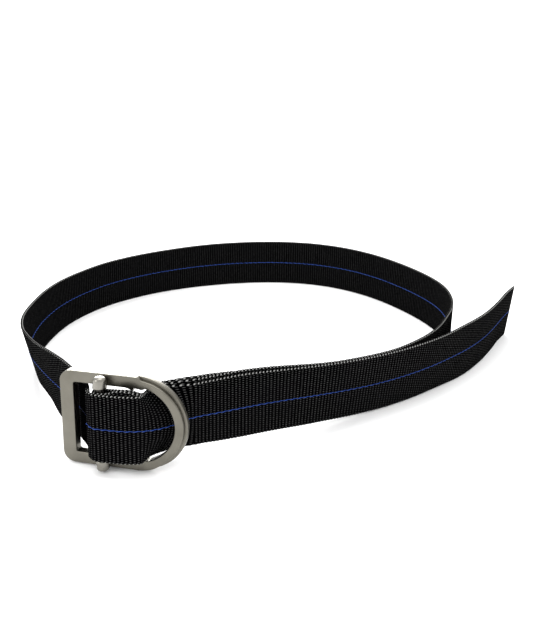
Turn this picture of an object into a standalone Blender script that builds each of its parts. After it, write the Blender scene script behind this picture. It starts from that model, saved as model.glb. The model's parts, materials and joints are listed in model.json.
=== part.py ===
"""Dive weight belt: a loop of 50 mm nylon webbing closed by a D-frame friction buckle.

The plan view is drawn from the crossbar's axis: +X runs along the buckle to the wearer's left, +Y runs
towards the wearer's back, +Z is up. The belt stands on its lower edge, with the buckle's front facing -Y.
The webbing's fixed end loops round the crossbar and is sewn to itself. Its running end comes round the
waist, over the crossbar, behind the frame's curved end, and leaves as the tail.
"""

import math

import bmesh
import bpy
from mathutils import Vector

# Webbing
WEB_WIDTH = 0.050
WEB_THICK = 0.0022
LAYER_GAP = 0.0003
PITCH = WEB_THICK + LAYER_GAP  # from one layer's middle to the next one's
LIFT = 0.0087  # how far the buckle, standing on the floor, lifts the webbing that runs through it
LIFT_RUN = 0.143  # the webbing comes down to the floor over this length on the left of the buckle
RIGHT_LIFT_RUN = 0.185  # and over this length on the right
WIDTH_STEPS = 6
MAX_STEP = 0.011
MAX_TURN = math.radians(11)
SPACING = 0.0005  # between the points that a route is worked out at
THIN_OUT = 14  # every 14th of them guides the layer beside it

# Crossbar
SHAFT_R = 0.0026
WRAP_GAP = 0.0005
KNOB_R = 0.0047
KNOB_TOP_R = 0.0042
KNOB_DOME = 0.0027  # the height of its rounded top
KNOB_SQUARE = 0.7  # below 1 the top is flatter than a ball
BAR_LENGTH = 0.0660
KNOB_START = 0.0247  # from the bar's middle to where a knob begins
ROUND_STEPS = 28

# Buckle frame, drawn from the middle of its left edge
FRAME_LENGTH = 0.0872
FRAME_HEIGHT = 0.0654
FRAME_DEPTH = 0.007
FRAME_CORNER_R = 0.008
LEFT_BAR = 0.0095
ARM_INNER = 0.0248  # half the window's height between the arms
INNER_CORNER_R = 0.0015
CURVE_X = 0.0522  # the outer curve's centre
WINDOW_CURVE_X = 0.0504
WINDOW_CURVE_A = 0.0288
WINDOW_CURVE_B = 0.0269
BUMP_START = 0.045
BUMP_END = 0.0605
BUMP_HEIGHT = 0.0020
RIM_STEP = 0.0020  # how far the front of the curve is set in from its outer edge
RIM_DEPTH = 0.0030
EDGE_BREAK = 0.0005
ARM_FROM = 0.0250  # the straight arms, from beyond the corner to where the curve starts
ARM_TO_OUTER = 0.0541
ARM_TO_INNER = 0.0511
CORNER_STEPS = 6
ARM_STEPS = 12
CURVE_STEPS = 14
CURVE_TURN = math.radians(86)  # from the middle of the curved end to where its rim stops
BAR_FROM_LEFT = 0.0310  # from the frame's left edge to the crossbar's axis

# Places
MIDDLE_Z = LIFT + WEB_WIDTH / 2  # the crossbar's and the lifted webbing's middle height
FRAME_RISE = 0.0003  # the frame's middle height above the crossbar's
BAR_X = -0.0652  # the crossbar's axis from the middle of the belt's outline
BAR_Y = -0.1970
FRAME_FRONT = KNOB_R + LAYER_GAP  # the frame's front face, behind the crossbar's axis
TILT = math.radians(6.0)  # the buckle leans back by this
FOLLOWS_TO = 0.062  # the webbing follows the buckle's tilt up to this far from the crossbar
FOLLOWS_END = 0.130

# Wraps round the crossbar
INNER_WRAP = SHAFT_R + WRAP_GAP + WEB_THICK / 2
OUTER_WRAP = INNER_WRAP + PITCH
WRAP_ON = math.radians(234)  # where the running webbing meets the crossbar
WRAP_OFF = math.radians(268)
TAB_OFF = math.radians(68)  # where the folded-back tab leaves the crossbar

# The running webbing after the crossbar: over the frame, through the window, and the tail, in metres
# from the crossbar's axis, at the webbing's middle height.
RUNNING = [
    (0.008, -0.0063), (0.020, -0.0048), (0.030, -0.0011), (0.038, 0.0050), (0.0438, 0.0122),
    (0.0492, 0.0203), (0.0566, 0.0280), (0.0664, 0.0354), (0.0854, 0.0504), (0.1084, 0.0682),
    (0.1319, 0.0868), (0.1569, 0.1078), (0.1824, 0.1320), (0.2004, 0.1515), (0.2184, 0.1750),
    (0.2358, 0.2015), (0.2489, 0.2275), (0.2598, 0.2561), (0.2683, 0.2817), (0.2762, 0.3014),
]
INSIDE_RISE = 0.0026  # how much higher the layers behind the running one stand inside the buckle
INSIDE_RISE_ON = (0.004, 0.012)
INSIDE_RISE_OFF = (0.020, 0.029)
UNDER_RISE = 0.0018  # and beyond it
TAB_RISE = 0.0024
RISE_FROM = 0.045
RISE_TO = 0.055
UNDER_FALL = (0.090, 0.140)
TAB_FALL = (0.056, 0.084)
CURL = 0.0032  # how far the lower edge is drawn up just beyond the buckle
CURL_FROM = 0.046
CURL_FULL = 0.062
CURL_TO = 0.066
CURL_END = 0.150
TOGETHER_TO = 0.140  # the layers lie together up to this x
WRAP_CLEAR = 0.006  # the crossbar's wrap ends before this x
TAB_START = 0.015
TAB_END = 0.075

# Round the waist, from where the layers part to just left of the buckle.
WAIST = [
    (0.1784, 0.1335), (0.2034, 0.1730), (0.2149, 0.2030), (0.2206, 0.2340), (0.2194, 0.2620),
    (0.2119, 0.2890), (0.1979, 0.3140), (0.1724, 0.3450), (0.1414, 0.3730), (0.1074, 0.3925),
    (0.0724, 0.4020), (0.0364, 0.4020), (0.0014, 0.3940), (-0.0316, 0.3800), (-0.0586, 0.3635),
    (-0.0836, 0.3430), (-0.1090, 0.3155), (-0.1304, 0.2814), (-0.1422, 0.2456), (-0.1464, 0.2150),
    (-0.1450, 0.1866), (-0.1396, 0.1586), (-0.1284, 0.1276), (-0.1114, 0.1012), (-0.0915, 0.0796),
    (-0.0735, 0.0625), (-0.0546, 0.0460), (-0.0368, 0.0312), (-0.0240, 0.0198), (-0.0150, 0.0108),
    (-0.0103, 0.0036), (-0.0083, -0.0016),
]

# The tail swings about this point of the running webbing; HINGE_GAP is left open there.
TAIL_FROM = 0.150
HINGE_GAP = 0.003

# The webbing is cupped where it dives through the curved window, its edges further left than its middle.
CUP = 0.0140
NARROWS = 0.058  # how much narrower the webbing is where the buckle grips it
NARROW_TO = 0.050
NARROW_END = 0.100

CUP_ON = (0.026, 0.044)
CUP_OFF = (0.044, 0.056)
CUP_BEFORE_Y = 0.12  # the back of the loop, beyond this, isn't cupped

# How much further out the upper edge is than the lower one, and where, in x and y from the crossbar
LEAN_RIGHT = 0.0068
LEAN_RIGHT_X = (0.07, 0.14)
LEAN_RIGHT_Y = (0.160, 0.215)
LEAN_LEFT = 0.0085
LEAN_LEFT_X = (0.045, 0.085)
LEAN_LEFT_Y = (0.095, 0.175)
LEAN_BACK = -0.0045  # the back of the loop, on the left, leans in
LEAN_BACK_X = (0.03, 0.10)
LEAN_BACK_Y = (0.175, 0.260)
LEAN_END = 0.0035
LEAN_END_X = (0.225, 0.245)
FRONT_BEFORE_Y = 0.2  # the right-hand front of the loop ends here

# Bar tacks, measured along the tab from its end
TACK_AT = (0.005, 0.010, 0.057)
TACK_WIDTH = 0.0020
TACK_THICK = 0.0007
TACK_CLEAR = 0.0004
TACK_STEPS = 2  # each side of the middle, in steps of the webbing's width


def clear_scene():
    for old in list(bpy.data.objects):
        bpy.data.objects.remove(old, do_unlink=True)


def material(name, colour, roughness, metallic=0.0):
    made = bpy.data.materials.new(name)
    made.use_nodes = True
    shader = made.node_tree.nodes["Principled BSDF"]
    shader.inputs["Base Color"].default_value = (*colour, 1.0)
    shader.inputs["Roughness"].default_value = roughness
    shader.inputs["Metallic"].default_value = metallic
    return made


def add_object(name, mesh, finish, location=(0.0, 0.0, 0.0)):
    made = bpy.data.objects.new(name, mesh)
    made.location = location
    mesh.materials.append(finish)
    bpy.context.scene.collection.objects.link(made)
    return made


def smoothstep(low, high, value):
    t = min(1.0, max(0.0, (value - low) / (high - low)))
    return t * t * (3.0 - 2.0 * t)


def tilted(point, angle):
    """The point turned about the X axis, so that what is above the crossbar's middle leans back."""
    return Vector((
        point.x,
        point.y * math.cos(angle) + point.z * math.sin(angle),
        point.z * math.cos(angle) - point.y * math.sin(angle),
    ))


def skin(rings, name, closed):
    """A mesh through rings of equally many points; an open run of rings gets an end face at each end."""
    shape = bmesh.new()
    rows = [[shape.verts.new(point) for point in ring] for ring in rings]
    count = len(rows[0])
    last = len(rows) if closed else len(rows) - 1
    for i in range(last):
        here = rows[i]
        there = rows[(i + 1) % len(rows)]
        for k in range(count):
            n = (k + 1) % count
            shape.faces.new((here[k], here[n], there[n], there[k]))
    if not closed:
        shape.faces.new(rows[0])
        shape.faces.new(rows[-1])
    bmesh.ops.recalc_face_normals(shape, faces=shape.faces)
    mesh = bpy.data.meshes.new(name)
    shape.to_mesh(mesh)
    shape.free()
    mesh.shade_smooth()
    mesh.set_sharp_from_angle(angle=math.radians(35))
    return mesh


# ---- the webbing's route -------------------------------------------------------------------------


def arc(radius, start, end, steps):
    angles = [start + (end - start) * i / steps for i in range(steps + 1)]
    return [Vector((radius * math.cos(a), radius * math.sin(a), 0.0)) for a in angles]


def drawn(points):
    return [Vector((x, y, 0.0)) for x, y in points]


def curve_through(points, spacing=SPACING):
    """Points closely spaced along a smooth (centripetal Catmull-Rom) curve through the given ones."""
    knots = [2 * points[0] - points[1]] + points + [2 * points[-1] - points[-2]]
    out = [points[0].copy()]
    for a, b, c, d in zip(knots, knots[1:], knots[2:], knots[3:]):
        t1 = (b - a).length ** 0.5
        t2 = t1 + (c - b).length ** 0.5
        t3 = t2 + (d - c).length ** 0.5
        steps = max(2, math.ceil((c - b).length / spacing))
        for i in range(1, steps + 1):
            t = t1 + (t2 - t1) * i / steps
            ab = a.lerp(b, t / t1)
            bc = b.lerp(c, (t - t1) / (t2 - t1))
            cd = c.lerp(d, (t - t2) / (t3 - t2))
            out.append(ab.lerp(bc, t / t2).lerp(bc.lerp(cd, (t - t1) / (t3 - t1)), (t - t1) / (t2 - t1)))
    return out


def side_of(points):
    """The unit vector to the left of the route at each point: the wearer's side."""
    out = []
    for i in range(len(points)):
        along = points[min(i + 1, len(points) - 1)] - points[max(i - 1, 0)]
        out.append(Vector((-along.y, along.x, 0.0)).normalized())
    return out


def rise_at(x, rise, fall):
    """How much higher a layer behind the running one stands: inside the buckle, and just beyond it."""
    inside = INSIDE_RISE * smoothstep(*INSIDE_RISE_ON, x) * (1.0 - smoothstep(*INSIDE_RISE_OFF, x))
    return inside + rise * smoothstep(RISE_FROM, RISE_TO, x) * (1.0 - smoothstep(*fall, x))


def layer(points, distance, start, end, rise, fall):
    """The layer beside a route, on the wearer's side, between two values of x."""
    out = []
    for point, side in zip(points, side_of(points)):
        beside = point + side * distance
        beside.z = rise_at(beside.x, rise, fall)
        if start < beside.x < end:
            out.append(beside)
    return out


def strap_route():
    """The whole strap: the tab, round the crossbar, round the waist, over the crossbar and the tail."""
    over = arc(OUTER_WRAP, WRAP_ON, WRAP_OFF, 4) + drawn(RUNNING)
    running = curve_through(over)
    tab = layer(running, 2 * PITCH, TAB_START, TAB_END, TAB_RISE, TAB_FALL)
    under = layer(running, PITCH, WRAP_CLEAR, TOGETHER_TO, UNDER_RISE, UNDER_FALL)
    wrap = arc(INNER_WRAP, TAB_OFF, WRAP_OFF, 14)
    return curve_through(tab[::-THIN_OUT] + wrap + under[::THIN_OUT] + drawn(WAIST) + over)


def tail_start(route):
    """The index of the route's point at the tail's hinge."""
    i = len(route) - 1
    while route[i].x > TAIL_FROM:
        i -= 1
    return i


def stations(points):
    """The points that the webbing's faceted shape needs: close where it bends, wide apart elsewhere."""
    kept = [0]
    turned = 0.0
    gone = 0.0
    for i in range(1, len(points) - 1):
        before = points[i] - points[i - 1]
        after = points[i + 1] - points[i]
        turned += abs(before.xy.angle_signed(after.xy, 0.0))
        gone += before.length
        if turned >= MAX_TURN or gone >= MAX_STEP:
            kept.append(i)
            turned = 0.0
            gone = 0.0
    return kept + [len(points) - 1]


# ---- the webbing's shape -------------------------------------------------------------------------


def lift_at(point):
    """The webbing is lifted inside the buckle and comes down to the floor on both sides of it."""
    beyond = max(0.0, point.xy.length - FRAME_LENGTH / 2)
    run = RIGHT_LIFT_RUN if point.x > 0 and point.y < FRONT_BEFORE_Y else LIFT_RUN
    return LIFT * (1.0 - smoothstep(0.0, run, beyond))


def curl_at(point):
    """How far the lower edge is drawn up, on the right of the buckle only."""
    if point.x < 0 or point.y > FRONT_BEFORE_Y:
        return 0.0
    reach = point.xy.length
    return CURL * smoothstep(CURL_FROM, CURL_FULL, reach) * (1.0 - smoothstep(CURL_TO, CURL_END, reach))


def lean_at(point):
    """How much further out the upper edge is than the lower one."""
    right = smoothstep(*LEAN_RIGHT_X, point.x) * (1.0 - smoothstep(*LEAN_RIGHT_Y, point.y))
    left = smoothstep(*LEAN_LEFT_X, -point.x) * (1.0 - smoothstep(*LEAN_LEFT_Y, point.y))
    back = smoothstep(*LEAN_BACK_X, -point.x) * smoothstep(*LEAN_BACK_Y, point.y)
    end = smoothstep(*LEAN_END_X, point.x)
    return LEAN_RIGHT * right + LEAN_LEFT * left + LEAN_BACK * back + LEAN_END * end


def cup_at(point):
    """How strongly the webbing is cupped, which is only where it passes through the curved window."""
    if point.y > CUP_BEFORE_Y or point.x < 0:
        return 0.0
    return smoothstep(*CUP_ON, point.x) * (1.0 - smoothstep(*CUP_OFF, point.x))


def web_point(point, out, across, depth):
    """A point of the webbing: across runs from -1 at its lower edge to 1 at its upper one."""
    reach = point.xy.length
    narrow = NARROWS * (1.0 - smoothstep(NARROW_TO, NARROW_END, reach))
    shift = depth + lean_at(point) * across / 2
    height = lift_at(point) - LIFT + point.z + WEB_WIDTH / 2 * (1.0 - narrow) * across
    height += curl_at(point) * min(0.0, across) ** 2
    bowed = CUP * cup_at(point) * across * across
    flat = Vector((point.x + out.x * shift - bowed, point.y + out.y * shift, height))
    tilt = TILT * (1.0 - smoothstep(FOLLOWS_TO, FOLLOWS_END, reach))
    level = max(0.0, flat.y - FRAME_FRONT - FRAME_DEPTH) * math.sin(tilt)
    return Vector((BAR_X, BAR_Y, MIDDLE_Z + level)) + tilted(flat, tilt)


def section(point, side):
    """The webbing's outline at one station: up its outer face and down its inner face."""
    rows = [2.0 * k / WIDTH_STEPS - 1.0 for k in range(WIDTH_STEPS + 1)]
    outer = [web_point(point, -side, across, WEB_THICK / 2) for across in rows]
    inner = [web_point(point, -side, across, -WEB_THICK / 2) for across in rows[::-1]]
    return outer + inner


def webbing(points, name):
    sides = side_of(points)
    rings = [section(points[i], sides[i]) for i in stations(points)]
    return skin(rings, name, closed=False)


# ---- the buckle ----------------------------------------------------------------------------------


def bump_at(x):
    """How far an arm's inner edge stands in: a rounded rise that ends in a shoulder."""
    if not BUMP_START < x < BUMP_END:
        return 0.0
    t = (x - BUMP_START) / (BUMP_END - BUMP_START)
    return BUMP_HEIGHT * smoothstep(0.0, 0.55, t) * (1.0 - smoothstep(0.75, 1.0, t))


def upper_outline():
    """Pairs of outer and inner points over the frame's upper half, left to right, with the rim's step."""
    pairs = []
    for i in range(CORNER_STEPS + 1):
        turn = math.pi - math.pi / 2 * i / CORNER_STEPS
        way = Vector((math.cos(turn), math.sin(turn)))
        outer_centre = Vector((FRAME_CORNER_R, FRAME_HEIGHT / 2 - FRAME_CORNER_R))
        inner_centre = Vector((LEFT_BAR + INNER_CORNER_R, ARM_INNER - INNER_CORNER_R))
        pairs.append((outer_centre + FRAME_CORNER_R * way, inner_centre + INNER_CORNER_R * way, 0.0))
    for i in range(ARM_STEPS + 1):
        outer = Vector((ARM_FROM + (ARM_TO_OUTER - ARM_FROM) * i / ARM_STEPS, FRAME_HEIGHT / 2))
        inner_x = ARM_FROM + (ARM_TO_INNER - ARM_FROM) * i / ARM_STEPS
        pairs.append((outer, Vector((inner_x, ARM_INNER - bump_at(inner_x))), 0.0))
    for i in range(CURVE_STEPS + 1):
        turn = CURVE_TURN * (1 - i / CURVE_STEPS)
        outer_x = CURVE_X + (FRAME_LENGTH - CURVE_X) * math.cos(turn)
        outer = Vector((outer_x, FRAME_HEIGHT / 2 * math.sin(turn)))
        inner = Vector((WINDOW_CURVE_X + WINDOW_CURVE_A * math.cos(turn), WINDOW_CURVE_B * math.sin(turn)))
        inner.y -= bump_at(inner.x)
        pairs.append((outer, inner, RIM_STEP))
    return pairs


def frame_section(outer, inner, step):
    """The frame's cut at one station, from the front inner edge round to the inner back edge."""
    way = (outer - inner).normalized()
    step = max(step, EDGE_BREAK / 2)
    profile = [
        (inner + way * EDGE_BREAK, 0.0),
        (outer - way * (step + EDGE_BREAK), 0.0),
        (outer - way * step, EDGE_BREAK),
        (outer - way * step, RIM_DEPTH),
        (outer, RIM_DEPTH + EDGE_BREAK),
        (outer, FRAME_DEPTH - EDGE_BREAK),
        (outer - way * EDGE_BREAK, FRAME_DEPTH),
        (inner + way * EDGE_BREAK, FRAME_DEPTH),
        (inner, FRAME_DEPTH - EDGE_BREAK),
        (inner, EDGE_BREAK),
    ]
    return [tilted(Vector((p.x - BAR_FROM_LEFT, FRAME_FRONT + depth, p.y)), TILT) for p, depth in profile]


def buckle_frame():
    upper = upper_outline()
    flip = Vector((1.0, -1.0))
    lower = [(outer * flip, inner * flip, step) for outer, inner, step in upper[:-1]]
    rings = [frame_section(*pair) for pair in upper + lower[::-1]]
    return skin(rings, "buckle_frame", closed=True)


def crossbar():
    """A turned pin: (radius, height above its middle) from the shaft to the knob's tip, mirrored below."""
    half = BAR_LENGTH / 2
    neck = [(SHAFT_R, KNOB_START - 0.0006), (KNOB_R - 0.0005, KNOB_START), (KNOB_R, KNOB_START + 0.0006)]
    slopes = [math.radians(a) for a in range(0, 90, 15)]
    dome = [(KNOB_TOP_R * math.cos(a) ** KNOB_SQUARE, half - KNOB_DOME * (1.0 - math.sin(a))) for a in slopes]
    tip = [(0.0006, half)]
    upper = neck + dome + tip
    profile = [(r, -z) for r, z in upper[::-1]] + upper
    rings = []
    for r, z in profile:
        turns = [2 * math.pi * k / ROUND_STEPS for k in range(ROUND_STEPS)]
        rings.append([tilted(Vector((r * math.cos(a), r * math.sin(a), z)), TILT) for a in turns])
    return skin(rings, "crossbar", closed=False)


def bar_tack(name, route, start):
    """A raised row of thread across the tab, on the wearer's side."""
    sides = side_of(route)
    low = WEB_THICK / 2 + TACK_CLEAR
    rings = []
    for k in range(-TACK_STEPS, TACK_STEPS + 1):
        across = 2.0 * k / WIDTH_STEPS
        ring = []
        for i, depth in ((0, low), (1, low), (1, low + TACK_THICK), (0, low + TACK_THICK)):
            at = start + i * round(TACK_WIDTH / SPACING)
            ring.append(web_point(route[at], sides[at] * -1.0, across, depth))
        rings.append(ring)
    return skin(rings, name, closed=False)


def main():
    clear_scene()
    nylon = material("black_nylon_webbing", (0.012, 0.012, 0.014), 0.85)
    steel = material("satin_grey_steel", (0.36, 0.35, 0.31), 0.38, 1.0)
    bright = material("polished_steel", (0.42, 0.41, 0.37), 0.28, 1.0)
    thread = material("black_thread", (0.02, 0.02, 0.022), 0.7)

    route = strap_route()
    split = tail_start(route)
    half_gap = round(HINGE_GAP / 2 / SPACING)
    strap = route[: split - half_gap]
    tail = route[split + half_gap:]

    add_object("webbing_strap", webbing(strap, "webbing_strap"), nylon)
    add_object("webbing_tail", webbing(tail, "webbing_tail"), nylon)
    add_object("buckle_frame", buckle_frame(), steel, (BAR_X, BAR_Y, MIDDLE_Z + FRAME_RISE))
    add_object("crossbar", crossbar(), bright, (BAR_X, BAR_Y, MIDDLE_Z))
    for number, from_end in enumerate(TACK_AT, start=1):
        name = f"bar_tack_{number}"
        add_object(name, bar_tack(name, route, round(from_end / SPACING)), thread)


main()
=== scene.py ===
"""The looks of a dive weight belt: ribbed nylon webbing with a tracer yarn, in a cast friction buckle.

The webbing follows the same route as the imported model's. It is drawn in plan from the crossbar's axis, with
+X along the buckle to the wearer's left and +Y towards the wearer's back, and it stands on its lower edge.
"""

import json
import math

import bmesh
import bpy
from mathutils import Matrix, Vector


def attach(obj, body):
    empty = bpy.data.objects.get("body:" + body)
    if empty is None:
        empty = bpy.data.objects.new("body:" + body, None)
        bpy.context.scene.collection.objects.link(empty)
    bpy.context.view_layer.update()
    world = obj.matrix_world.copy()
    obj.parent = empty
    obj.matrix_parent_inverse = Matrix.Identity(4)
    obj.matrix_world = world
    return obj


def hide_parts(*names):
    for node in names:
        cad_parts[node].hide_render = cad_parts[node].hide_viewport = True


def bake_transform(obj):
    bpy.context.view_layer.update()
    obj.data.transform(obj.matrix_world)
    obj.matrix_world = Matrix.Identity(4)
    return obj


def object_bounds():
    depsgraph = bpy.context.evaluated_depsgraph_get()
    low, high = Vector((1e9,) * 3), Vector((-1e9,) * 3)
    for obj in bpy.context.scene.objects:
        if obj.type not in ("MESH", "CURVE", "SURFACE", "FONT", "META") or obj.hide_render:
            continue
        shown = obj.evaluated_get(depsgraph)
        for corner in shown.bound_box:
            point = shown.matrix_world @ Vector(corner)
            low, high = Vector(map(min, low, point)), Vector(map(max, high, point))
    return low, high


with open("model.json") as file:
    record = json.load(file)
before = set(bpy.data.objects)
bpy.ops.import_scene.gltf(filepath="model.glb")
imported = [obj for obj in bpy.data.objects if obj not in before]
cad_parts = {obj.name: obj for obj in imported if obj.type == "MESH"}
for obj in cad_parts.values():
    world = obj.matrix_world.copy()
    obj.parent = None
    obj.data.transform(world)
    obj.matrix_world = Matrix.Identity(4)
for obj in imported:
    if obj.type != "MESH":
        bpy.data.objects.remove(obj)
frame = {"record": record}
cad_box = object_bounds()

# ---- sizes, in metres ----------------------------------------------------------------------------

SAME_PLACE = 0.000001
SHARP = math.radians(60)  # edges that turn more than this aren't shaded smooth

# Webbing
WEB_WIDTH = 0.050
WEB_THICK = 0.0022
LAYER_GAP = 0.0003
PITCH = WEB_THICK + LAYER_GAP  # from one layer's middle to the next one's
LIFT_RUN = 0.143  # the webbing comes down to the floor over this length on the left of the buckle
RIGHT_LIFT_RUN = 0.185  # and over this length on the right
BUCKLE_REACH = 0.0436  # the lift and the buckle's tilt hold at least this far from the crossbar
SPACING = 0.0005  # between the points that a route is worked out at
THIN_OUT = 14  # every 14th point of a route guides the layer beside it
SHAFT_R = 0.0026
WRAP_GAP = 0.0005
FRAME_BACK = 0.012  # the frame's back face, behind the crossbar's axis
FRONT_BEFORE_Y = 0.2  # the right-hand front of the loop ends here
FOLLOWS_TO = 0.062  # the webbing follows the buckle's tilt up to this far from the crossbar
FOLLOWS_END = 0.130
CUP = 0.0140  # its edges are this much further left than its middle in the curved window
CUP_ON = (0.026, 0.044)
CUP_OFF = (0.044, 0.056)
CUP_BEFORE_Y = 0.12
NARROWS = 0.058  # how much narrower it is where the buckle grips it
NARROW_TO = 0.050
NARROW_END = 0.100

# How much further out the upper edge is than the lower one, and where, in x and y from the crossbar
LEAN_RIGHT = 0.0068
LEAN_RIGHT_X = (0.07, 0.14)
LEAN_RIGHT_Y = (0.160, 0.215)
LEAN_LEFT = 0.0085
LEAN_LEFT_X = (0.045, 0.085)
LEAN_LEFT_Y = (0.095, 0.175)
LEAN_BACK = -0.0045  # the back of the loop, on the left, leans in
LEAN_BACK_X = (0.03, 0.10)
LEAN_BACK_Y = (0.175, 0.260)
LEAN_END = 0.0035
LEAN_END_X = (0.225, 0.245)

# Weave: every warp yarn goes over one weft yarn and under the next
RIB = 0.0026  # from one weft yarn to the next
YARN = 0.00082  # from one warp yarn to the next
STEPS_PER_RIB = 6
STEP = RIB / STEPS_PER_RIB  # between the meshes' stations along the strap
RIB_HEIGHT = 0.00022
RIB_BELOW = 0.9  # the share of a rib's height that lies below the webbing's nominal face
RIB_BACK = 0.7  # powers below 1 make a rib's or a yarn's back broader than a sine's
RIB_FACE = 0.6
YARN_BACK = 0.7
FLOAT_BACK = 1.4
FLOAT_SHARE = 0.70  # of the outer face's relief; the rest is the rib under it
PLAIN_SHARE = 0.75  # of the inner face's relief, where the ribs look plain
PLAIN_HEIGHT = 0.85
FACE_BLENDS = 0.0006  # the outer face's look gives way to the inner one's this near the mid-plane
TAB_BLENDS = 0.002
PLY_TURNS = 9000.0  # radians of a yarn's plies per metre
FACE_SPANS = 6
EDGE_STEPS = 5
SHADED = (0.026, 0.001)  # the strap is in deep shade this far before it meets the crossbar
SHADE_FADES = 0.004
# The selvedge's painted highlights: slanted bright strokes that follow its weft turns
SELVEDGE_SLANT = 1100.0  # radians of the selvedge's turn per metre of depth
SELVEDGE_FROM = (0.0239, 0.0243)
SELVEDGE_STROKE = 0.72  # below 1, and the lower the wider the painted highlights
SELVEDGE_SIDE = (0.0002, 0.0007)  # its painted highlights begin this far from the webbing's mid-plane
EDGE_BEAD = 0.34  # how much the selvedge narrows between its turns
SEALED = 0.0016  # the length of a cut end that is melted and thinned
SEALED_TO = 0.45  # the share of its thickness that is left at the very end

# Tracer yarn
TRACER_HALF_WIDTH = 0.00034
TRACER_HALF_HEIGHT = 0.00026
TRACER_WAVE = 0.00028
TRACER_SUNK = 0.00004
TRACER_SLANT = 0.00016
TRACER_SIDES = 8
TRACER_STOPS = 2  # stations short of the strap's cut ends

# Buckle frame, from the middle of its left edge
FRAME_LENGTH = 0.0872
FRAME_HEIGHT = 0.0654
FRAME_DEPTH = 0.007
FRAME_RISE = 0.0003
FRAME_CORNER_R = 0.008
LEFT_BAR = 0.0095
ARM_INNER = 0.0248
INNER_CORNER_R = 0.0015
CURVE_X = 0.0522  # the outer curve's centre
CURVE_TURN = math.radians(87)  # from the middle of the curved end to where its rim stops
WINDOW_CURVE_X = 0.0504
WINDOW_CURVE_A = 0.0288
WINDOW_CURVE_B = 0.0269
BUMP_START = 0.045
BUMP_END = 0.0605
BUMP_HEIGHT = 0.0020
BUMP_TOP = (0.55, 0.75)  # the highest part of the bump, as shares of its length
ARM_FROM = 0.0250  # the straight arms, from beyond the corner to where the curve starts
ARM_TO_OUTER = 0.0541
ARM_TO_INNER = 0.0511
BAR_FROM_LEFT = 0.0310  # from the frame's left edge to the crossbar's axis
RIM_STEP = 0.0020  # how far the front of the curve is set in from its outer edge
RIM_DEPTH = 0.0030
RIM_RISE = 0.0035  # the length over which the rim's step reaches its full size
RIM_FADED = 0.060  # along the lower side the rim dies away between these
RIM_FULL = 0.078
GROOVE = 0.0005
FLUSH = 0.00005  # the least step, where there is no rim
SOME_STEP = FLUSH * 1.01
EDGE_ROUND = 0.0008
ROUND_STEPS = 4
CORNER_STEPS = 12
ARM_STEPS = 36
CURVE_STEPS = 44

# Crossbar
KNOB_R = 0.0047
KNOB_TOP_R = 0.0042
KNOB_DOME = 0.0027  # the height of its rounded top
KNOB_SQUARE = 0.7  # below 1 the top is flatter than a ball
KNOB_START = 0.0247  # from the bar's middle to where a knob begins
KNOB_SHOULDER = 0.0011
KNOB_SIDES = 64
KNOB_TIP_R = 0.0004
NECK = 0.0004
BAR_LENGTH = 0.0660
FRAME_FRONT = KNOB_R + LAYER_GAP

# Bar tacks, measured along the tab from its end
TACK_AT = (0.005, 0.010, 0.057)
TACK_WIDTH = 0.0020
TACK_HALF = 0.0165
TACK_STITCHES = 44
THREAD_R = 0.00022
THREAD_SIDES = 6

# Wraps round the crossbar
INNER_WRAP = SHAFT_R + WRAP_GAP + WEB_THICK / 2
OUTER_WRAP = INNER_WRAP + PITCH
WRAP_ON = math.radians(234)
WRAP_OFF = math.radians(268)
TAB_OFF = math.radians(68)

# The running webbing after the crossbar, and the tail
RUNNING = [
    (0.008, -0.0063), (0.020, -0.0048), (0.030, -0.0011), (0.038, 0.0050), (0.0438, 0.0122),
    (0.0492, 0.0203), (0.0566, 0.0280), (0.0664, 0.0354), (0.0854, 0.0504), (0.1084, 0.0682),
    (0.1319, 0.0868), (0.1569, 0.1078), (0.1824, 0.1320), (0.2004, 0.1515), (0.2184, 0.1750),
    (0.2358, 0.2015), (0.2489, 0.2275), (0.2598, 0.2561), (0.2683, 0.2817), (0.2762, 0.3014),
]
INSIDE_RISE = 0.0026  # how much higher the layers behind the running one stand inside the buckle
UNDER_RISE = 0.0018  # and beyond it
TAB_RISE = 0.0024
INSIDE_RISE_ON = (0.004, 0.012)
INSIDE_RISE_OFF = (0.020, 0.029)
RISE_FROM = 0.045
RISE_TO = 0.055
UNDER_FALL = (0.090, 0.140)
TAB_FALL = (0.056, 0.084)
CURL = 0.0032  # how far the lower edge is drawn up just beyond the buckle
CURL_FROM = 0.046
CURL_FULL = 0.062
CURL_TO = 0.066
CURL_END = 0.150
TOGETHER_TO = 0.140  # the layers lie together up to this x
WRAP_CLEAR = 0.006  # the crossbar's wrap ends before this x
TAB_START = 0.015
TAB_END = 0.075
TAB_SEWN = 0.080  # the length of strap, from its fixed end, that shows its coarse face on both sides

# Round the waist, from where the layers part to just left of the buckle
WAIST = [
    (0.1784, 0.1335), (0.2034, 0.1730), (0.2149, 0.2030), (0.2206, 0.2340), (0.2194, 0.2620),
    (0.2119, 0.2890), (0.1979, 0.3140), (0.1724, 0.3450), (0.1414, 0.3730), (0.1074, 0.3925),
    (0.0724, 0.4020), (0.0364, 0.4020), (0.0014, 0.3940), (-0.0316, 0.3800), (-0.0586, 0.3635),
    (-0.0836, 0.3430), (-0.1090, 0.3155), (-0.1304, 0.2814), (-0.1422, 0.2456), (-0.1464, 0.2150),
    (-0.1450, 0.1866), (-0.1396, 0.1586), (-0.1284, 0.1276), (-0.1114, 0.1012), (-0.0915, 0.0796),
    (-0.0735, 0.0625), (-0.0546, 0.0460), (-0.0368, 0.0312), (-0.0240, 0.0198), (-0.0150, 0.0108),
    (-0.0103, 0.0036), (-0.0083, -0.0016),
]

# How far before its hinge the tail's mesh takes over from the loop's
TAIL_TAKES_OVER = 0.016

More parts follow.
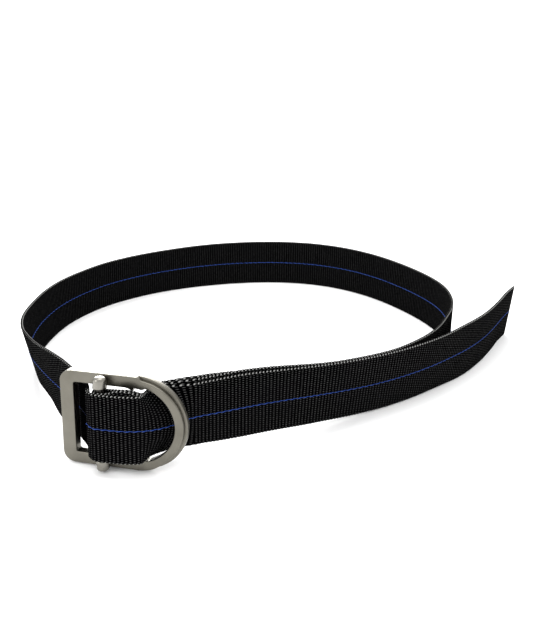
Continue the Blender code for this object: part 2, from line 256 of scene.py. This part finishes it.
# Camera and light
FOCAL_LENGTH = 39.4  # millimetres, on Blender's 36 mm sensor
CAMERA_FROM_BAR = Vector((0.1957, -0.3602))
CAMERA_HEIGHT = 0.265
CAMERA_HEADING = math.radians(13.4)
CAMERA_DOWN = 0.381
FLOOR_SIZE = 60.0
FLOOR_BELOW = 0.0002
WORLD_LIGHT = 1.35
BACK_LIGHT = Vector((-0.75, 1.35, 0.50))


def joint(name):
    return next(j for j in frame["record"]["behaviour"]["joints"] if j["name"] == name)


BAR = Vector(joint("crossbar_roll")["pos_m"])
BAR_AXIS = Vector(joint("crossbar_roll")["axis"])
TILT = math.atan2(BAR_AXIS.y, BAR_AXIS.z)
LIFT = BAR.z - WEB_WIDTH / 2
TAIL_HINGE = Vector(joint("tail_swing")["pos_m"])


# ---- the webbing's route -------------------------------------------------------------------------


def smoothstep(low, high, value):
    t = min(1.0, max(0.0, (value - low) / (high - low)))
    return t * t * (3.0 - 2.0 * t)


def arc(radius, start, end, steps):
    angles = [start + (end - start) * i / steps for i in range(steps + 1)]
    return [Vector((radius * math.cos(a), radius * math.sin(a), 0.0)) for a in angles]


def drawn(points):
    return [Vector((x, y, 0.0)) for x, y in points]


def curve_through(points):
    """Points closely spaced along a smooth (centripetal Catmull-Rom) curve through the given ones."""
    knots = [2 * points[0] - points[1]] + points + [2 * points[-1] - points[-2]]
    out = [points[0].copy()]
    for a, b, c, d in zip(knots, knots[1:], knots[2:], knots[3:]):
        t1 = (b - a).length ** 0.5
        t2 = t1 + (c - b).length ** 0.5
        t3 = t2 + (d - c).length ** 0.5
        steps = max(2, math.ceil((c - b).length / SPACING))
        for i in range(1, steps + 1):
            t = t1 + (t2 - t1) * i / steps
            ab = a.lerp(b, t / t1)
            bc = b.lerp(c, (t - t1) / (t2 - t1))
            cd = c.lerp(d, (t - t2) / (t3 - t2))
            out.append(ab.lerp(bc, t / t2).lerp(bc.lerp(cd, (t - t1) / (t3 - t1)), (t - t1) / (t2 - t1)))
    return out


def side_of(points):
    """The unit vector to the left of the route at each point: the wearer's side."""
    out = []
    for i in range(len(points)):
        along = points[min(i + 1, len(points) - 1)] - points[max(i - 1, 0)]
        out.append(Vector((-along.y, along.x, 0.0)).normalized())
    return out


def rise_at(x, rise, fall):
    """How much higher a layer behind the running one stands: inside the buckle, and just beyond it."""
    inside = INSIDE_RISE * smoothstep(*INSIDE_RISE_ON, x) * (1.0 - smoothstep(*INSIDE_RISE_OFF, x))
    return inside + rise * smoothstep(RISE_FROM, RISE_TO, x) * (1.0 - smoothstep(*fall, x))


def layer(points, distance, start, end, rise, fall):
    """The layer beside a route, on the wearer's side, between two values of x."""
    out = []
    for point, side in zip(points, side_of(points)):
        beside = point + side * distance
        beside.z = rise_at(beside.x, rise, fall)
        if start < beside.x < end:
            out.append(beside)
    return out


def strap_route():
    """The whole strap: the tab, round the crossbar, round the waist, over the crossbar and the tail."""
    over = arc(OUTER_WRAP, WRAP_ON, WRAP_OFF, 4) + drawn(RUNNING)
    running = curve_through(over)
    tab = layer(running, 2 * PITCH, TAB_START, TAB_END, TAB_RISE, TAB_FALL)
    under = layer(running, PITCH, WRAP_CLEAR, TOGETHER_TO, UNDER_RISE, UNDER_FALL)
    wrap = arc(INNER_WRAP, TAB_OFF, WRAP_OFF, 14)
    return curve_through(tab[::-THIN_OUT] + wrap + under[::THIN_OUT] + drawn(WAIST) + over)


def evenly(points, step):
    """The same line with its points a step apart."""
    out = [points[0].copy()]
    ahead = step
    for a, b in zip(points, points[1:]):
        length = (b - a).length
        while ahead <= length:
            out.append(a.lerp(b, ahead / length))
            ahead += step
        ahead -= length
    return out


# ---- the webbing's shape -------------------------------------------------------------------------


def lift_at(point):
    """The webbing is lifted inside the buckle and comes down to the floor on both sides of it."""
    beyond = max(0.0, point.xy.length - BUCKLE_REACH)
    run = RIGHT_LIFT_RUN if point.x > 0 and point.y < FRONT_BEFORE_Y else LIFT_RUN
    return LIFT * (1.0 - smoothstep(0.0, run, beyond))


def curl_at(point):
    """How far the lower edge is drawn up, on the right of the buckle only."""
    if point.x < 0 or point.y > FRONT_BEFORE_Y:
        return 0.0
    reach = point.xy.length
    return CURL * smoothstep(CURL_FROM, CURL_FULL, reach) * (1.0 - smoothstep(CURL_TO, CURL_END, reach))


def lean_at(point):
    """How much further out the upper edge is than the lower one."""
    right = smoothstep(*LEAN_RIGHT_X, point.x) * (1.0 - smoothstep(*LEAN_RIGHT_Y, point.y))
    left = smoothstep(*LEAN_LEFT_X, -point.x) * (1.0 - smoothstep(*LEAN_LEFT_Y, point.y))
    back = smoothstep(*LEAN_BACK_X, -point.x) * smoothstep(*LEAN_BACK_Y, point.y)
    end = smoothstep(*LEAN_END_X, point.x)
    return LEAN_RIGHT * right + LEAN_LEFT * left + LEAN_BACK * back + LEAN_END * end


def cup_at(point):
    """How strongly the webbing is cupped, which is only where it passes through the curved window."""
    if point.y > CUP_BEFORE_Y or point.x < 0:
        return 0.0
    return smoothstep(*CUP_ON, point.x) * (1.0 - smoothstep(*CUP_OFF, point.x))


def tilted(point, angle):
    """The point turned about the X axis, so that what is above the crossbar's middle leans back."""
    return Vector((
        point.x,
        point.y * math.cos(angle) + point.z * math.sin(angle),
        point.z * math.cos(angle) - point.y * math.sin(angle),
    ))


def web_point(point, out, across, depth):
    """A point of the webbing: across runs from -1 at its lower edge to 1 at its upper one."""
    reach = point.xy.length
    narrow = NARROWS * (1.0 - smoothstep(NARROW_TO, NARROW_END, reach))
    shift = depth + lean_at(point) * across / 2
    height = lift_at(point) - LIFT + point.z + WEB_WIDTH / 2 * (1.0 - narrow) * across
    height += curl_at(point) * min(0.0, across) ** 2
    bowed = CUP * cup_at(point) * across * across
    flat = Vector((point.x + out.x * shift - bowed, point.y + out.y * shift, height))
    tilt = TILT * (1.0 - smoothstep(FOLLOWS_TO, FOLLOWS_END, reach))
    level = max(0.0, flat.y - FRAME_BACK) * math.sin(tilt)
    return BAR + tilted(flat, tilt) + Vector((0.0, 0.0, level))


def web_outline(distance, total):
    """The webbing's cut: (across, depth) up its outer face, over, down its inner face and under."""
    half = WEB_WIDTH / 2
    radius = WEB_THICK / 2
    rib = abs(math.sin(math.pi * distance / RIB)) ** RIB_BACK
    from_end = min(distance, total - distance)
    sealed = SEALED_TO + (1.0 - SEALED_TO) * smoothstep(0.0, SEALED, from_end)
    face = (radius + RIB_HEIGHT * (rib - RIB_BELOW)) * sealed
    flat_to = 1.0 - radius / half
    rows = [flat_to * (2.0 * k / FACE_SPANS - 1.0) for k in range(FACE_SPANS + 1)]
    bead = radius * (1.0 - EDGE_BEAD * (1.0 - rib))
    turns = [math.radians(90 - 180 * (k + 1) / (EDGE_STEPS + 1)) for k in range(EDGE_STEPS)]
    upper = [(flat_to + bead * math.cos(t) / half, bead * sealed * math.sin(t)) for t in turns]
    outer = [(across, face) for across in rows]
    inner = [(across, -face) for across in rows[::-1]]
    lower = [(-across, depth) for across, depth in upper[::-1]]
    return outer + upper + inner + lower


def new_object(name, mesh, finish):
    """A mesh put in the scene, with its material."""
    made = bpy.data.objects.new(name, mesh)
    mesh.materials.append(finish)
    bpy.context.scene.collection.objects.link(made)
    return made


def skin(rings, name, ends=True):
    """A mesh through rings of equally many points, closed at its two ends unless it is a loop."""
    shape = bmesh.new()
    rows = [[shape.verts.new(point) for point in ring] for ring in rings]
    count = len(rows[0])
    for here, there in zip(rows, rows[1:]):
        for k in range(count):
            n = (k + 1) % count
            shape.faces.new((here[k], here[n], there[n], there[k]))
    if ends:
        shape.faces.new(rows[0])
        shape.faces.new(rows[-1])
    else:
        bmesh.ops.remove_doubles(shape, verts=rows[0] + rows[-1], dist=SAME_PLACE)
    bmesh.ops.recalc_face_normals(shape, faces=shape.faces)
    mesh = bpy.data.meshes.new(name)
    shape.to_mesh(mesh)
    shape.free()
    mesh.shade_smooth()
    mesh.set_sharp_from_angle(angle=SHARP)
    return mesh


def woven(mesh, places):
    """The mesh with each point's place in the weave: along the strap, across it and through it."""
    weave = mesh.attributes.new("weave", "FLOAT_VECTOR", "POINT")
    weave.data.foreach_set("vector", [value for place in places for value in place])
    return mesh


def webbing(name, route, sides, first, last, finish):
    """The strap between two stations of its route, with where each point lies in the weave."""
    total = (len(route) - 1) * STEP
    rings = []
    places = []
    for i in range(first, last + 1):
        outline = web_outline(i * STEP, total)
        rings.append([web_point(route[i], -sides[i], across, depth) for across, depth in outline])
        places += [(i * STEP, across * WEB_WIDTH / 2, depth) for across, depth in outline]
    return new_object(name, woven(skin(rings, name), places), finish)


def tracer(name, route, sides, first, last, face, finish):
    """The coloured warp yarn in the middle of one face (1 outer, -1 inner), rising at every second rib."""
    rings = []
    for i in range(first, last + 1):
        phase = math.pi * i * STEP / RIB
        middle = WEB_THICK / 2 - TRACER_SUNK + TRACER_WAVE * math.cos(phase)
        aside = TRACER_SLANT * math.sin(phase)
        ring = []
        for k in range(TRACER_SIDES):
            turn = 2 * math.pi * k / TRACER_SIDES
            across = (aside + TRACER_HALF_WIDTH * math.cos(turn)) / (WEB_WIDTH / 2)
            depth = face * (middle + TRACER_HALF_HEIGHT * math.sin(turn))
            ring.append(web_point(route[i], -sides[i], across, depth))
        rings.append(ring)
    places = [(i * STEP, 0.0, 0.0) for i in range(first, last + 1) for k in range(TRACER_SIDES)]
    return new_object(name, woven(skin(rings, name), places), finish)


# ---- materials -----------------------------------------------------------------------------------


class Nodes:
    """Shorthand for building one material's nodes."""

    def __init__(self, name):
        self.material = bpy.data.materials.new(name)
        self.material.use_nodes = True
        self.tree = self.material.node_tree
        self.shader = self.tree.nodes["Principled BSDF"]

    def put(self, socket, value):
        if isinstance(value, bpy.types.NodeSocket):
            self.tree.links.new(value, socket)
        else:
            socket.default_value = value

    def add(self, kind, **inputs):
        node = self.tree.nodes.new(kind)
        for name, value in inputs.items():
            self.put(node.inputs[name.replace("_", " ")], value)
        return node

    def math(self, operation, *values):
        node = self.tree.nodes.new("ShaderNodeMath")
        node.operation = operation
        for socket, value in zip(node.inputs, values):
            self.put(socket, value)
        return node.outputs[0]

    def times(self, first, second):
        return self.math("MULTIPLY", first, second)

    def plus(self, first, second):
        return self.math("ADD", first, second)

    def absolute(self, value):
        return self.math("ABSOLUTE", value)

    def ramp(self, value, low, high, to_low=0.0, to_high=1.0):
        """A smooth step from to_low to to_high as the value goes from low to high."""
        node = self.add("ShaderNodeMapRange", Value=value)
        node.interpolation_type = "SMOOTHSTEP"
        for name, number in (("From Min", low), ("From Max", high), ("To Min", to_low), ("To Max", to_high)):
            node.inputs[name].default_value = number
        return node.outputs["Result"]

    def mix(self, share, first, second):
        """A mix of two colours, whose sockets come after the node's number and vector ones."""
        node = self.tree.nodes.new("ShaderNodeMix")
        node.data_type = "RGBA"
        self.put(node.inputs[0], share)
        self.put(node.inputs[6], first)
        self.put(node.inputs[7], second)
        return node.outputs[2]

    def position(self):
        return self.tree.nodes.new("ShaderNodeTexCoord").outputs["Object"]

    def weave(self):
        """Where a point lies in the weave: along the strap, across it and through it."""
        place = self.tree.nodes.new("ShaderNodeAttribute")
        place.attribute_name = "weave"
        split = self.tree.nodes.new("ShaderNodeSeparateXYZ")
        self.put(split.inputs[0], place.outputs["Vector"])
        return tuple(split.outputs)

    def noise(self, scale, detail=2.0):
        node = self.add("ShaderNodeTexNoise", Scale=scale, Detail=detail)
        self.put(node.inputs["Vector"], self.position())
        return node.outputs["Fac"]

    def bump(self, height, distance, strength=1.0, normal=None):
        node = self.add("ShaderNodeBump", Height=height, Distance=distance, Strength=strength)
        if normal is not None:
            self.put(node.inputs["Normal"], normal)
        return node.outputs["Normal"]

    def finish(self, **inputs):
        for name, value in inputs.items():
            self.put(self.shader.inputs[name.replace("_", " ")], value)
        return self.material


def colour(red, green, blue):
    return (red, green, blue, 1.0)


def shade(n, along, meets_bar):
    """1 where the strap climbs from behind the frame's left bar up to the crossbar."""
    start, end = (meets_bar - reach for reach in SHADED)
    return n.times(n.ramp(along, start - SHADE_FADES, start), n.ramp(along, end - SHADE_FADES, end, 1.0, 0.0))


def coarse_face(n, along, through):
    """1 on the outer face of the strap, and on both faces of its folded tab."""
    return n.math(
        "MAXIMUM",
        n.ramp(through, -FACE_BLENDS, FACE_BLENDS),
        n.ramp(along, TAB_SEWN, TAB_SEWN + TAB_BLENDS, 1.0, 0.0),
    )


def weave_relief(n, along, across, coarse):
    """The yarns' height: floats in a brick pattern on the coarse face, plain ribs on the other one."""
    yarns = n.math("DIVIDE", across, YARN)
    number = n.math("ROUND", yarns)
    within = n.math("SUBTRACT", yarns, number)
    crown = n.math("POWER", n.math("COSINE", n.times(within, math.pi)), YARN_BACK)
    turn = n.times(along, math.pi / RIB)
    rib = n.math("POWER", n.absolute(n.math("SINE", turn)), RIB_FACE)
    alternate = n.math("SINE", n.plus(turn, n.times(number, math.pi)))
    floating = n.math("POWER", n.times(n.math("MAXIMUM", alternate, 0.0), crown), FLOAT_BACK)
    beads = n.plus(n.times(rib, 1.0 - FLOAT_SHARE), n.times(floating, FLOAT_SHARE))
    ribs = n.plus(n.times(rib, PLAIN_SHARE), n.times(beads, 1.0 - PLAIN_SHARE))
    plain = n.times(ribs, PLAIN_HEIGHT)
    return n.plus(n.times(beads, coarse), n.times(plain, n.math("SUBTRACT", 1.0, coarse)))


def selvedge_painted_highlights(n, along, across, through):
    """Painted highlights: 1 on the slanted turns of weft yarn along the strap's two edges, where they would
    catch the light.
    """
    slanted = n.plus(n.times(along, math.pi / RIB), n.times(through, SELVEDGE_SLANT))
    stroke = n.ramp(n.absolute(n.math("SINE", slanted)), SELVEDGE_STROKE, 1.0)
    side = n.ramp(n.absolute(through), *SELVEDGE_SIDE)
    return n.times(n.ramp(n.absolute(across), *SELVEDGE_FROM), n.times(stroke, side))


def webbing_material(meets_bar):
    """Black nylon: warp yarns rise over each second weft yarn, in a brick pattern of floats, with painted
    shade in the gaps between the yarns and painted highlights on the selvedge.
    """
    n = Nodes("black_nylon_webbing")
    along, across, through = n.weave()
    coarse = coarse_face(n, along, through)
    relief = weave_relief(n, along, across, coarse)
    plies = n.math("SINE", n.plus(n.times(along, PLY_TURNS), n.times(across, PLY_TURNS)))
    uneven = n.math("SUBTRACT", n.noise(620.0, 3.0), 0.5)
    worn = n.noise(28.0, 3.0)
    relief = n.plus(relief, n.times(plies, 0.04))
    relief = n.plus(relief, n.times(uneven, 0.55))

    raised = n.mix(coarse, colour(0.020, 0.020, 0.020), colour(0.078, 0.078, 0.077))
    # Painted shade: the gaps between the yarns are darkened to near black, as if shaded by the yarns beside
    # them
    tint = n.mix(n.ramp(relief, 0.42, 1.12), colour(0.0002, 0.0002, 0.0003), raised)
    tint = n.mix(n.ramp(worn, 0.35, 0.75, 0.0, 0.35), tint, colour(0.004, 0.004, 0.0045))
    # Painted highlights: the selvedge's weft turns are brightened to a light grey
    tint = n.mix(selvedge_painted_highlights(n, along, across, through), tint, colour(0.30, 0.30, 0.29))
    tint = n.mix(n.times(shade(n, along, meets_bar), 0.88), tint, colour(0.0004, 0.0004, 0.0005))
    normal = n.bump(relief, 0.00035)
    return n.finish(Base_Color=tint, Roughness=0.9, Normal=normal, Specular_IOR_Level=0.0)


def tracer_material(meets_bar):
    """The blue yarn, twisted."""
    n = Nodes("blue_tracer_yarn")
    along = n.weave()[0]
    twist = n.add("ShaderNodeTexWave", Scale=900.0, Distortion=1.0)
    twist.bands_direction = "DIAGONAL"
    n.put(twist.inputs["Vector"], n.position())
    tint = n.mix(twist.outputs["Fac"], colour(0.004, 0.014, 0.09), colour(0.034, 0.085, 0.36))
    tint = n.mix(n.times(shade(n, along, meets_bar), 0.9), tint, colour(0.0004, 0.0004, 0.001))
    normal = n.bump(twist.outputs["Fac"], 0.0001)
    return n.finish(Base_Color=tint, Roughness=0.8, Normal=normal, Specular_IOR_Level=0.1)


def thread_material():
    """Black sewing thread, a little fuzzy."""
    n = Nodes("black_thread")
    fuzz = n.noise(2500.0, 2.0)
    tint = n.mix(fuzz, colour(0.004, 0.004, 0.0045), colour(0.03, 0.03, 0.032))
    return n.finish(Base_Color=tint, Roughness=0.55, Normal=n.bump(fuzz, 0.0001))


def steel_material(name, dark, light, rough):
    """Cast steel, tumbled to a satin: faint pits and clouding."""
    n = Nodes(name)
    cloud = n.noise(60.0, 4.0)
    pits = n.noise(1400.0, 2.0)
    tint = n.mix(n.ramp(cloud, 0.3, 0.7), dark, light)
    normal = n.bump(pits, 0.00003, 0.6)
    normal = n.bump(cloud, 0.0003, 0.35, normal)
    roughness = n.ramp(cloud, 0.3, 0.7, rough - 0.05, rough + 0.06)
    return n.finish(Base_Color=tint, Metallic=1.0, Roughness=roughness, Normal=normal)


def floor_material():
    """A plain pale surface."""
    n = Nodes("pale_floor")
    return n.finish(Base_Color=colour(0.92, 0.92, 0.92), Roughness=1.0, Specular_IOR_Level=0.0)


# ---- the stitching -------------------------------------------------------------------------------


def thread(points, name):
    """A round thread along a line of points."""
    rings = []
    for i, point in enumerate(points):
        along = (points[min(i + 1, len(points) - 1)] - points[max(i - 1, 0)]).normalized()
        first = along.orthogonal().normalized()
        second = along.cross(first)
        turns = [2 * math.pi * k / THREAD_SIDES for k in range(THREAD_SIDES)]
        rings.append([point + (first * math.cos(t) + second * math.sin(t)) * THREAD_R for t in turns])
    return skin(rings, name)


def bar_tack(name, route, sides, start, finish):
    """A zigzag of thread across the tab, on the wearer's side."""
    near = round(start / STEP)
    far = round((start + TACK_WIDTH) / STEP)
    depth = WEB_THICK / 2 + 1.5 * THREAD_R
    points = []
    for k in range(TACK_STITCHES + 1):
        station = far if k % 2 else near
        across = TACK_HALF * (2.0 * k / TACK_STITCHES - 1.0) / (WEB_WIDTH / 2)
        points.append(web_point(route[station], -sides[station], across, depth))
    return new_object(name, thread(points, name), finish)


# ---- the buckle ----------------------------------------------------------------------------------


def bump_at(x):
    """How far an arm's inner edge stands in: a rounded rise that ends in a shoulder."""
    if not BUMP_START < x < BUMP_END:
        return 0.0
    t = (x - BUMP_START) / (BUMP_END - BUMP_START)
    return BUMP_HEIGHT * smoothstep(0.0, BUMP_TOP[0], t) * (1.0 - smoothstep(BUMP_TOP[1], 1.0, t))


def upper_outline():
    """Pairs of outer and inner points over the frame's upper half, left to right, with the rim's step."""
    pairs = []
    outer_centre = Vector((FRAME_CORNER_R, FRAME_HEIGHT / 2 - FRAME_CORNER_R))
    inner_centre = Vector((LEFT_BAR + INNER_CORNER_R, ARM_INNER - INNER_CORNER_R))
    for i in range(CORNER_STEPS + 1):
        turn = math.pi - math.pi / 2 * i / CORNER_STEPS
        way = Vector((math.cos(turn), math.sin(turn)))
        pairs.append((outer_centre + FRAME_CORNER_R * way, inner_centre + INNER_CORNER_R * way, FLUSH))
    for i in range(ARM_STEPS + 1):
        outer = Vector((ARM_FROM + (ARM_TO_OUTER - ARM_FROM) * i / ARM_STEPS, FRAME_HEIGHT / 2))
        inner_x = ARM_FROM + (ARM_TO_INNER - ARM_FROM) * i / ARM_STEPS
        pairs.append((outer, Vector((inner_x, ARM_INNER - bump_at(inner_x))), FLUSH))
    for i in range(CURVE_STEPS + 1):
        turn = CURVE_TURN * (1 - i / CURVE_STEPS)
        outer_x = CURVE_X + (FRAME_LENGTH - CURVE_X) * math.cos(turn)
        inner = Vector((WINDOW_CURVE_X + WINDOW_CURVE_A * math.cos(turn), WINDOW_CURVE_B * math.sin(turn)))
        inner.y -= bump_at(inner.x)
        step = max(SOME_STEP, RIM_STEP * smoothstep(ARM_TO_OUTER, ARM_TO_OUTER + RIM_RISE, outer_x))
        pairs.append((Vector((outer_x, FRAME_HEIGHT / 2 * math.sin(turn))), inner, step))
    return pairs


def rounded(corners):
    """A closed outline of (position, radius) corners with each corner turned into a short curve."""
    out = []
    for i, (here, radius) in enumerate(corners):
        before = corners[i - 1][0] - here
        after = corners[(i + 1) % len(corners)][0] - here
        start = here + before.normalized() * min(radius, before.length * 0.49)
        end = here + after.normalized() * min(radius, after.length * 0.49)
        for k in range(ROUND_STEPS + 1):
            t = k / ROUND_STEPS
            out.append(start.lerp(here, t).lerp(here.lerp(end, t), t))
    return out


def frame_section(outer, inner, step):
    """The frame's cut at one station: (distance from the inner edge, depth from the front)."""
    width = (outer - inner).length
    way = (outer - inner).normalized()
    groove = GROOVE if step > FLUSH else FLUSH
    corners = [
        (Vector((0.0, 0.0)), EDGE_ROUND),
        (Vector((width - step, 0.0)), EDGE_ROUND if step > FLUSH else EDGE_ROUND / 2),
        (Vector((width - step, RIM_DEPTH - groove)), groove / 4),
        (Vector((width - step - groove, RIM_DEPTH)), groove / 4),
        (Vector((width, RIM_DEPTH + FLUSH)), EDGE_ROUND / 2),
        (Vector((width, FRAME_DEPTH)), EDGE_ROUND),
        (Vector((0.0, FRAME_DEPTH)), EDGE_ROUND),
    ]
    ring = []
    for at in rounded(corners):
        place = inner + way * at.x
        ring.append(tilted(Vector((place.x - BAR_FROM_LEFT, FRAME_FRONT + at.y, place.y)), TILT))
    return ring


def frame_mesh():
    """The whole casting: the upper half and its mirror image, whose rim dies away towards the arm."""
    upper = upper_outline()
    flip = Vector((1.0, -1.0))
    lower = []
    for outer, inner, step in upper[:-1]:
        if step > FLUSH:
            step = max(SOME_STEP, step * smoothstep(RIM_FADED, RIM_FULL, outer.x))
        lower.append((outer * flip, inner * flip, step))
    centre = BAR + Vector((0.0, 0.0, FRAME_RISE))
    rings = [[centre + point for point in frame_section(*pair)] for pair in upper + lower[::-1]]
    return skin(rings + rings[:1], "buckle_frame_look", ends=False)


def crossbar_mesh():
    """A turned pin: (radius, height above its middle) from the shaft to the knob's tip, mirrored below."""
    half = BAR_LENGTH / 2
    upper = [(SHAFT_R, KNOB_START - NECK)]
    for turn in (math.radians(a) for a in range(0, 91, 15)):
        radius = KNOB_R - KNOB_SHOULDER * (1.0 - math.sin(turn))
        upper.append((radius, KNOB_START + KNOB_SHOULDER * (1.0 - math.cos(turn))))
    for slope in (math.radians(a) for a in range(0, 90, 5)):
        radius = KNOB_TOP_R * math.cos(slope) ** KNOB_SQUARE
        upper.append((radius, half - KNOB_DOME * (1.0 - math.sin(slope))))
    upper.append((KNOB_TIP_R, half))
    rings = []
    for radius, height in [(r, -z) for r, z in upper[::-1]] + upper:
        turns = [2 * math.pi * k / KNOB_SIDES for k in range(KNOB_SIDES)]
        flat = [Vector((radius * math.cos(a), radius * math.sin(a), height)) for a in turns]
        rings.append([BAR + tilted(point, TILT) for point in flat])
    return skin(rings, "crossbar_look")


# ---- camera, light and floor ---------------------------------------------------------------------


def area_light(name, location, target, size, power):
    data = bpy.data.lights.new(name, "AREA")
    data.shape = "RECTANGLE"
    data.size, data.size_y = size
    data.energy = power
    lamp = bpy.data.objects.new(name, data)
    lamp.location = location
    lamp.rotation_euler = (Vector(target) - Vector(location)).to_track_quat("-Z", "Y").to_euler()
    bpy.context.scene.collection.objects.link(lamp)


def place_camera():
    camera = bpy.data.objects.new("camera", bpy.data.cameras.new("camera"))
    camera.data.lens = FOCAL_LENGTH
    camera.location = (BAR.x + CAMERA_FROM_BAR.x, BAR.y + CAMERA_FROM_BAR.y, CAMERA_HEIGHT)
    camera.rotation_euler = (math.pi / 2 - CAMERA_DOWN, 0.0, CAMERA_HEADING)
    bpy.context.scene.collection.objects.link(camera)
    bpy.context.scene.camera = camera


def lay_floor():
    half = FLOOR_SIZE / 2
    corners = [(-half, -half, 0), (half, -half, 0), (half, half, 0), (-half, half, 0)]
    floor_mesh = bpy.data.meshes.new("floor")
    floor_mesh.from_pydata(corners, [], [(0, 1, 2, 3)])
    floor = new_object("floor", floor_mesh, floor_material())
    floor.location.z = cad_box[0][2] - FLOOR_BELOW


def light_studio():
    world = bpy.data.worlds.new("studio")
    world.use_nodes = True
    background = world.node_tree.nodes["Background"]
    background.inputs["Color"].default_value = colour(1.0, 1.0, 1.0)
    background.inputs["Strength"].default_value = WORLD_LIGHT
    bpy.context.scene.world = world
    bpy.context.scene.view_settings.view_transform = "Standard"
    area_light("top", (0.0, 0.1, 1.2), (0.0, 0.0, 0.0), (0.9, 0.9), 10.0)
    area_light("back", BACK_LIGHT, BAR, (1.4, 0.6), 45.0)
    area_light("left_front", (-0.9, -0.9, 0.6), (-0.05, -0.1, 0.03), (0.7, 0.7), 5.0)


# ---- the belt ------------------------------------------------------------------------------------


def nearest_station(route, x, y):
    """The station of the route's second half that is nearest to a place in plan from the crossbar."""
    target = Vector((x, y, 0.0))
    last_part = range(len(route) // 2, len(route))
    return min(last_part, key=lambda i: (route[i] - target).length)


def belt(route, sides):
    """The strap in two pieces, the loop and the tail from just before its hinge, and their tracer yarns."""
    end = len(route) - 1
    meets_bar = nearest_station(route, *WAIST[-1]) * STEP
    nylon = webbing_material(meets_bar)
    blue = tracer_material(meets_bar)
    hinge = nearest_station(route, TAIL_HINGE.x - BAR.x, TAIL_HINGE.y - BAR.y)
    split = hinge - round(TAIL_TAKES_OVER / STEP)

    loop = webbing("webbing_loop", route, sides, 0, split, nylon)
    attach(loop, "belt")
    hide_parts("webbing_strap")

    tail = webbing("webbing_tail_end", route, sides, split, end, nylon)
    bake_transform(tail)
    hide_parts("webbing_tail")

    for face, word in ((1, "outer"), (-1, "inner")):
        yarn = tracer(f"tracer_{word}", route, sides, TRACER_STOPS, split, face, blue)
        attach(yarn, "belt")
        yarn = tracer(f"tracer_{word}_tail", route, sides, split, end - TRACER_STOPS, face, blue)
        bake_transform(yarn)


def stitching(route, sides):
    black = thread_material()
    for number, start in enumerate(TACK_AT, start=1):
        stitches = bar_tack(f"stitches_{number}", route, sides, start, black)
        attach(stitches, "belt")
        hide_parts(f"bar_tack_{number}")


def buckle():
    steel = steel_material("satin_grey_steel", colour(0.130, 0.123, 0.103), colour(0.172, 0.163, 0.138), 0.38)
    casting = new_object("buckle_frame_look", frame_mesh(), steel)
    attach(casting, "buckle")
    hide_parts("buckle_frame")

    bright = steel_material("polished_steel", colour(0.18, 0.172, 0.150), colour(0.235, 0.225, 0.20), 0.28)
    pin = new_object("crossbar_look", crossbar_mesh(), bright)
    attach(pin, "bar")
    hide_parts("crossbar")


def main():
    route = evenly(strap_route(), STEP)
    sides = side_of(route)
    belt(route, sides)
    stitching(route, sides)
    buckle()
    place_camera()
    lay_floor()
    light_studio()


main()
